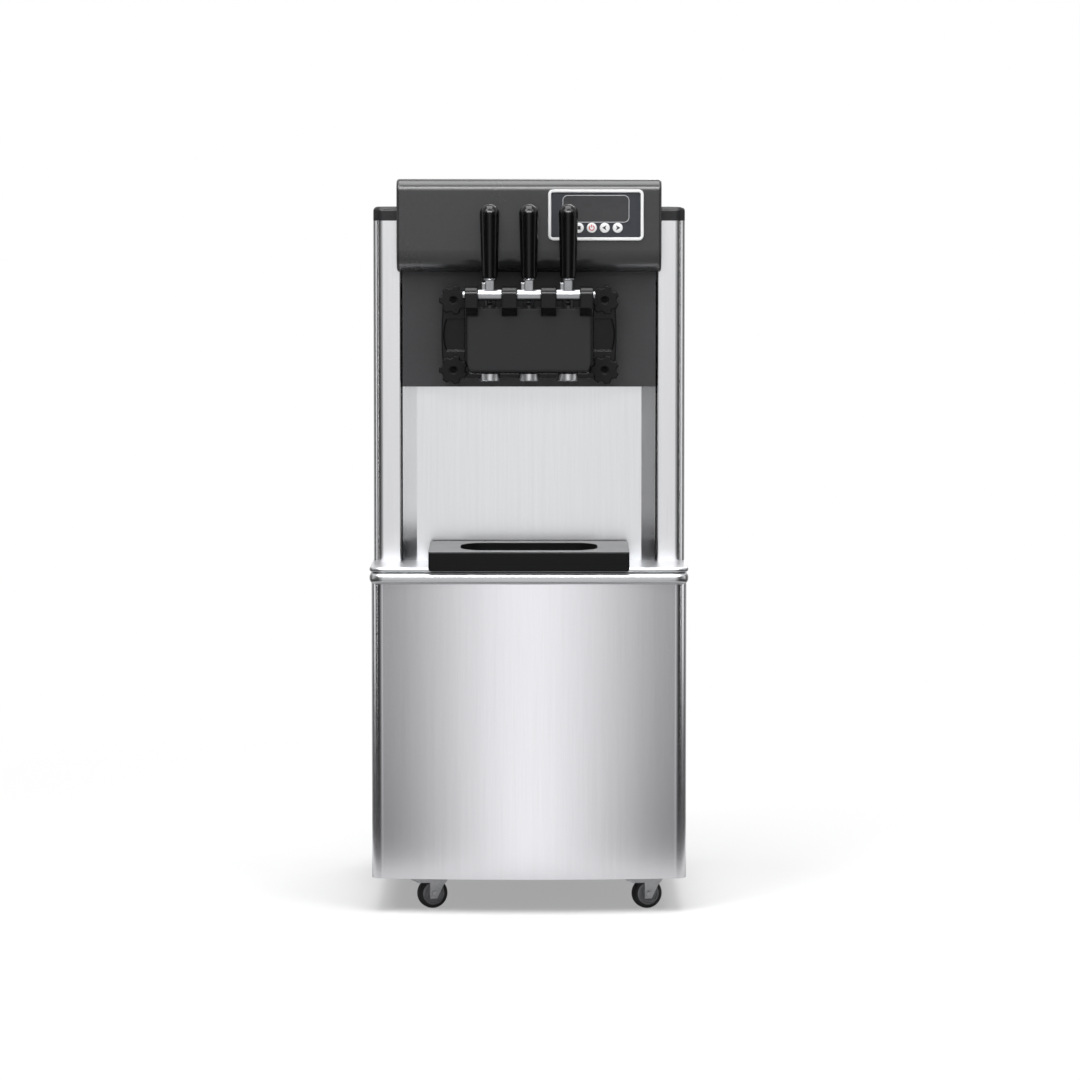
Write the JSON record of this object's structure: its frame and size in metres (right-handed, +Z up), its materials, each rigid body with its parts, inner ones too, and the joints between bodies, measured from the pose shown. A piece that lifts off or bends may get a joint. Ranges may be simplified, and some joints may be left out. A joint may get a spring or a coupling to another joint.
{
  "type": "soft-serve ice cream machine",
  "caption": "Floor-standing soft-serve machine on swivel casters with draw levers, plungers, lidded hoppers, freezing barrels, push-button panel and a slide-out drip tray.",
  "frame": {"origin": "bottom centre of the bounding box, on the floor under the wheels", "axes": "+Z up, -Y toward the user (front), +X to the user's right"},
  "size_m": [0.547, 0.69, 1.262],
  "materials": {
    "panel_steel": "satin brushed sheet",
    "shelf_steel": "satin light grey moulding",
    "rim_black": "gloss dark trim",
    "head_charcoal": "satin charcoal",
    "block_black": "gloss black moulding",
    "grip_black": "gloss black",
    "lever_chrome": "polished",
    "nozzle_silver": "satin",
    "bezel_white": "white frame around a dark face",
    "display_dark": "dark window with a pale outline",
    "button_white": "gloss white",
    "board_green": "circuit board",
    "food_steel": "fine satin",
    "plunger_white": "food-grade moulding",
    "motor_grey": "semi-gloss",
    "shell_black": "semi-gloss",
    "fin_aluminium": "bare fins",
    "frame_grey": "galvanised look",
    "tray_black": "satin black",
    "caster_zinc": "zinc plated",
    "wheel_rubber": "black tread on a grey hub",
    "gland_black": "matt"
  },
  "bodies": {
    "cabinet": {"base_pan": "frame_grey", "inner_frame": "frame_grey", "left_side_panel": "panel_steel", "right_side_panel": "panel_steel", "rear_panel": "panel_steel", "lower_front_panel": "panel_steel", "front_columns": "panel_steel", "splash_panel": "panel_steel", "waist_shelf": "shelf_steel", "head_panel": "head_charcoal", "head_cover": "head_charcoal", "top_rim": "rim_black", "control_bezel": "bezel_white", "display_window": "display_dark", "control_board": "board_green", "mix_hoppers": "food_steel", "feed_tubes": "food_steel", "freezing_cylinders": "food_steel", "gear_motors": "motor_grey", "fan_motor": "motor_grey", "compressor": "shell_black", "condenser": "fin_aluminium", "dispenser_block": "block_black", "hinge_pin": "lever_chrome", "nozzles": "nozzle_silver", "caster_plates": "caster_zinc", "cord_gland": "gland_black"},
    "lever_left": {"lever_arm_left": "lever_chrome", "lever_grip_left": "grip_black"},
    "plunger_left": {"plunger_left": "plunger_white"},
    "lever_center": {"lever_arm_center": "lever_chrome", "lever_grip_center": "grip_black"},
    "plunger_center": {"plunger_center": "plunger_white"},
    "lever_right": {"lever_arm_right": "lever_chrome", "lever_grip_right": "grip_black"},
    "plunger_right": {"plunger_right": "plunger_white"},
    "star_knob_upper_left": {"star_knob_upper_left": "block_black"},
    "star_knob_upper_right": {"star_knob_upper_right": "block_black"},
    "star_knob_lower_left": {"star_knob_lower_left": "block_black"},
    "star_knob_lower_right": {"star_knob_lower_right": "block_black"},
    "push_button_1": {"push_button_1": "button_white"},
    "push_button_2": {"push_button_2": "button_white"},
    "push_button_3": {"push_button_3": "button_white"},
    "push_button_4": {"push_button_4": "button_white"},
    "push_button_5": {"push_button_5": "button_white"},
    "drip_tray": {"drip_tray": "tray_black"},
    "drip_grid": {"drip_grid": "tray_black"},
    "hopper_lid_left": {"hopper_lid_left": "food_steel"},
    "beater_left": {"beater_left": "food_steel"},
    "hopper_lid_right": {"hopper_lid_right": "food_steel"},
    "beater_right": {"beater_right": "food_steel"},
    "fan_blade": {"fan_blade": "fin_aluminium"},
    "caster_fork_front_left": {"caster_fork_front_left": "caster_zinc"},
    "caster_wheel_front_left": {"caster_wheel_front_left": "wheel_rubber"},
    "caster_fork_front_right": {"caster_fork_front_right": "caster_zinc"},
    "caster_wheel_front_right": {"caster_wheel_front_right": "wheel_rubber"},
    "caster_fork_rear_left": {"caster_fork_rear_left": "caster_zinc"},
    "caster_wheel_rear_left": {"caster_wheel_rear_left": "wheel_rubber"},
    "caster_fork_rear_right": {"caster_fork_rear_right": "caster_zinc"},
    "caster_wheel_rear_right": {"caster_wheel_rear_right": "wheel_rubber"}
  },
  "joints": [
    {"name": "lever_left_pull", "type": "hinge", "parent": "cabinet", "child": "lever_left", "pos_m": [-0.0675, -0.254, 1.063], "axis": [1, 0, 0], "range_deg": [0, 60]},
    {"name": "plunger_left_lift", "type": "slide", "parent": "cabinet", "child": "plunger_left", "axis": [0, 0, 1], "range_m": [0, 0.024]},
    {"name": "lever_center_pull", "type": "hinge", "parent": "cabinet", "child": "lever_center", "pos_m": [0, -0.254, 1.063], "axis": [1, 0, 0], "range_deg": [0, 60]},
    {"name": "plunger_center_lift", "type": "slide", "parent": "cabinet", "child": "plunger_center", "axis": [0, 0, 1], "range_m": [0, 0.024]},
    {"name": "lever_right_pull", "type": "hinge", "parent": "cabinet", "child": "lever_right", "pos_m": [0.0675, -0.254, 1.063], "axis": [1, 0, 0], "range_deg": [0, 60]},
    {"name": "plunger_right_lift", "type": "slide", "parent": "cabinet", "child": "plunger_right", "axis": [0, 0, 1], "range_m": [0, 0.024]},
    {"name": "star_knob_upper_left_turn", "type": "hinge", "parent": "cabinet", "child": "star_knob_upper_left", "pos_m": [-0.131, -0.21, 1.053], "axis": [0, 1, 0], "continuous": true},
    {"name": "star_knob_upper_right_turn", "type": "hinge", "parent": "cabinet", "child": "star_knob_upper_right", "pos_m": [0.131, -0.21, 1.053], "axis": [0, 1, 0], "continuous": true},
    {"name": "star_knob_lower_left_turn", "type": "hinge", "parent": "cabinet", "child": "star_knob_lower_left", "pos_m": [-0.131, -0.21, 0.932], "axis": [0, 1, 0], "continuous": true},
    {"name": "star_knob_lower_right_turn", "type": "hinge", "parent": "cabinet", "child": "star_knob_lower_right", "pos_m": [0.131, -0.21, 0.932], "axis": [0, 1, 0], "continuous": true},
    {"name": "push_button_1_press", "type": "slide", "parent": "cabinet", "child": "push_button_1", "axis": [0, 1, 0], "range_m": [0, 0.001], "stiffness_N_per_m": 1500},
    {"name": "push_button_2_press", "type": "slide", "parent": "cabinet", "child": "push_button_2", "axis": [0, 1, 0], "range_m": [0, 0.001], "stiffness_N_per_m": 1500},
    {"name": "push_button_3_press", "type": "slide", "parent": "cabinet", "child": "push_button_3", "axis": [0, 1, 0], "range_m": [0, 0.001], "stiffness_N_per_m": 1500},
    {"name": "push_button_4_press", "type": "slide", "parent": "cabinet", "child": "push_button_4", "axis": [0, 1, 0], "range_m": [0, 0.001], "stiffness_N_per_m": 1500},
    {"name": "push_button_5_press", "type": "slide", "parent": "cabinet", "child": "push_button_5", "axis": [0, 1, 0], "range_m": [0, 0.001], "stiffness_N_per_m": 1500},
    {"name": "drip_tray_slide", "type": "slide", "parent": "cabinet", "child": "drip_tray", "axis": [0, -1, 0], "range_m": [0, 0.17]},
    {"name": "drip_grid_lift", "type": "slide", "parent": "drip_tray", "child": "drip_grid", "axis": [0, 0, 1], "range_m": [0, 0.08]},
    {"name": "hopper_lid_left_lift", "type": "slide", "parent": "cabinet", "child": "hopper_lid_left", "axis": [0, 0, 1], "range_m": [0, 0.2]},
    {"name": "beater_left_spin", "type": "hinge", "parent": "cabinet", "child": "beater_left", "pos_m": [-0.068, 0, 0.985], "axis": [0, 1, 0], "continuous": true},
    {"name": "hopper_lid_right_lift", "type": "slide", "parent": "cabinet", "child": "hopper_lid_right", "axis": [0, 0, 1], "range_m": [0, 0.2]},
    {"name": "beater_right_spin", "type": "hinge", "parent": "cabinet", "child": "beater_right", "pos_m": [0.068, 0, 0.985], "axis": [0, 1, 0], "continuous": true},
    {"name": "fan_spin", "type": "hinge", "parent": "cabinet", "child": "fan_blade", "pos_m": [-0.175, 0.07, 0.237], "axis": [1, 0, 0], "continuous": true},
    {"name": "caster_front_left_swivel", "type": "hinge", "parent": "cabinet", "child": "caster_fork_front_left", "pos_m": [-0.186, -0.265, 0.06], "axis": [0, 0, 1], "continuous": true},
    {"name": "caster_front_left_roll", "type": "hinge", "parent": "caster_fork_front_left", "child": "caster_wheel_front_left", "pos_m": [-0.16793, -0.25913, 0.026], "axis": [0.309, -0.9511, 0], "continuous": true},
    {"name": "caster_front_right_swivel", "type": "hinge", "parent": "cabinet", "child": "caster_fork_front_right", "pos_m": [0.186, -0.265, 0.06], "axis": [0, 0, 1], "continuous": true},
    {"name": "caster_front_right_roll", "type": "hinge", "parent": "caster_fork_front_right", "child": "caster_wheel_front_right", "pos_m": [0.20407, -0.25913, 0.026], "axis": [0.309, -0.9511, 0], "continuous": true},
    {"name": "caster_rear_left_swivel", "type": "hinge", "parent": "cabinet", "child": "caster_fork_rear_left", "pos_m": [-0.186, 0.27, 0.06], "axis": [0, 0, 1], "continuous": true},
    {"name": "caster_rear_left_roll", "type": "hinge", "parent": "caster_fork_rear_left", "child": "caster_wheel_rear_left", "pos_m": [-0.16793, 0.27587, 0.026], "axis": [0.309, -0.9511, 0], "continuous": true},
    {"name": "caster_rear_right_swivel", "type": "hinge", "parent": "cabinet", "child": "caster_fork_rear_right", "pos_m": [0.186, 0.27, 0.06], "axis": [0, 0, 1], "continuous": true},
    {"name": "caster_rear_right_roll", "type": "hinge", "parent": "caster_fork_rear_right", "child": "caster_wheel_rear_right", "pos_m": [0.20407, 0.27587, 0.026], "axis": [0.309, -0.9511, 0], "continuous": true}
  ],
  "couplings": [
    {"joint": "plunger_left_lift", "follows": "lever_left_pull", "m_per_rad": 0.0229},
    {"joint": "plunger_center_lift", "follows": "lever_center_pull", "m_per_rad": 0.0229},
    {"joint": "plunger_right_lift", "follows": "lever_right_pull", "m_per_rad": 0.0229}
  ]
}
